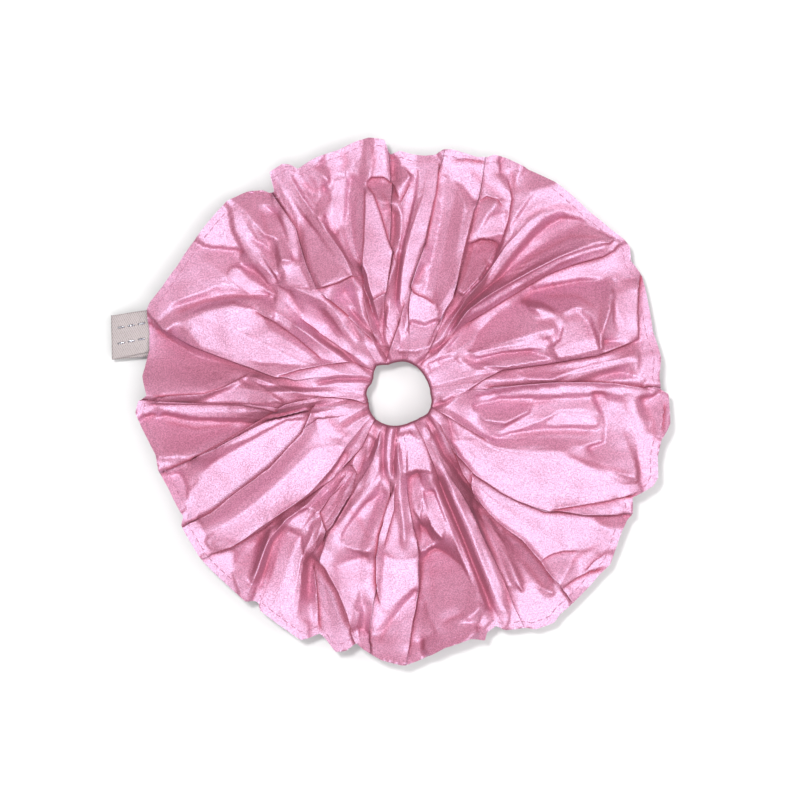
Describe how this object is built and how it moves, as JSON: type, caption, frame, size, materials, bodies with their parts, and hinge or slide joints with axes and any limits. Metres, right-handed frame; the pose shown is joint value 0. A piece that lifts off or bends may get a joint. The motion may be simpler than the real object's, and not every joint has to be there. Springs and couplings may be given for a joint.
{
  "type": "scrunchie",
  "caption": "Large scrunchie: a satin-taffeta tube gathered into a ruffled ring over a stretchy elastic loop, with a folded ribbon tab caught in its rim seam, for tying up hair.",
  "frame": {"origin": "middle of the footprint, on the surface the scrunchie lies on", "axes": "+Z up, along the hair loop's axis; +X across the loop, away from the ribbon tab; +Y up in the picture"},
  "size_m": [0.1749, 0.1634, 0.0262],
  "materials": {
    "taffeta": "pink satin taffeta with a broad soft sheen and crisp folds",
    "elastic": "off-white flat woven elastic",
    "white_thread": "white sewing thread",
    "rose_thread": "rose sewing thread, a shade darker than the cover",
    "ribbon": "white ribbed ribbon with a fine crosswise rib"
  },
  "bodies": {
    "left_half": {"cover_left": "taffeta", "elastic_left_inner_end": "elastic", "elastic_left_outer_end": "elastic", "elastic_join_stitches": "white_thread", "rim_seam_thread_left": "rose_thread", "closing_seam_thread": "rose_thread"},
    "right_half": {"cover_right": "taffeta", "elastic_right": "elastic", "rim_seam_thread_right": "rose_thread"},
    "label": {"label_ribbon": "ribbon"}
  },
  "joints": [
    {"name": "stretch", "type": "slide", "parent": "left_half", "child": "right_half", "axis": [1, 0, 0], "range_m": [0, 0.06], "stiffness_N_per_m": 120},
    {"name": "label_flip", "type": "hinge", "parent": "left_half", "child": "label", "pos_m": [-0.07694, 0.02133, 0.0074], "axis": [0.1298, 0.9915, 0], "range_deg": [-35, 110], "stiffness_Nm_per_rad": 0.0005}
  ]
}
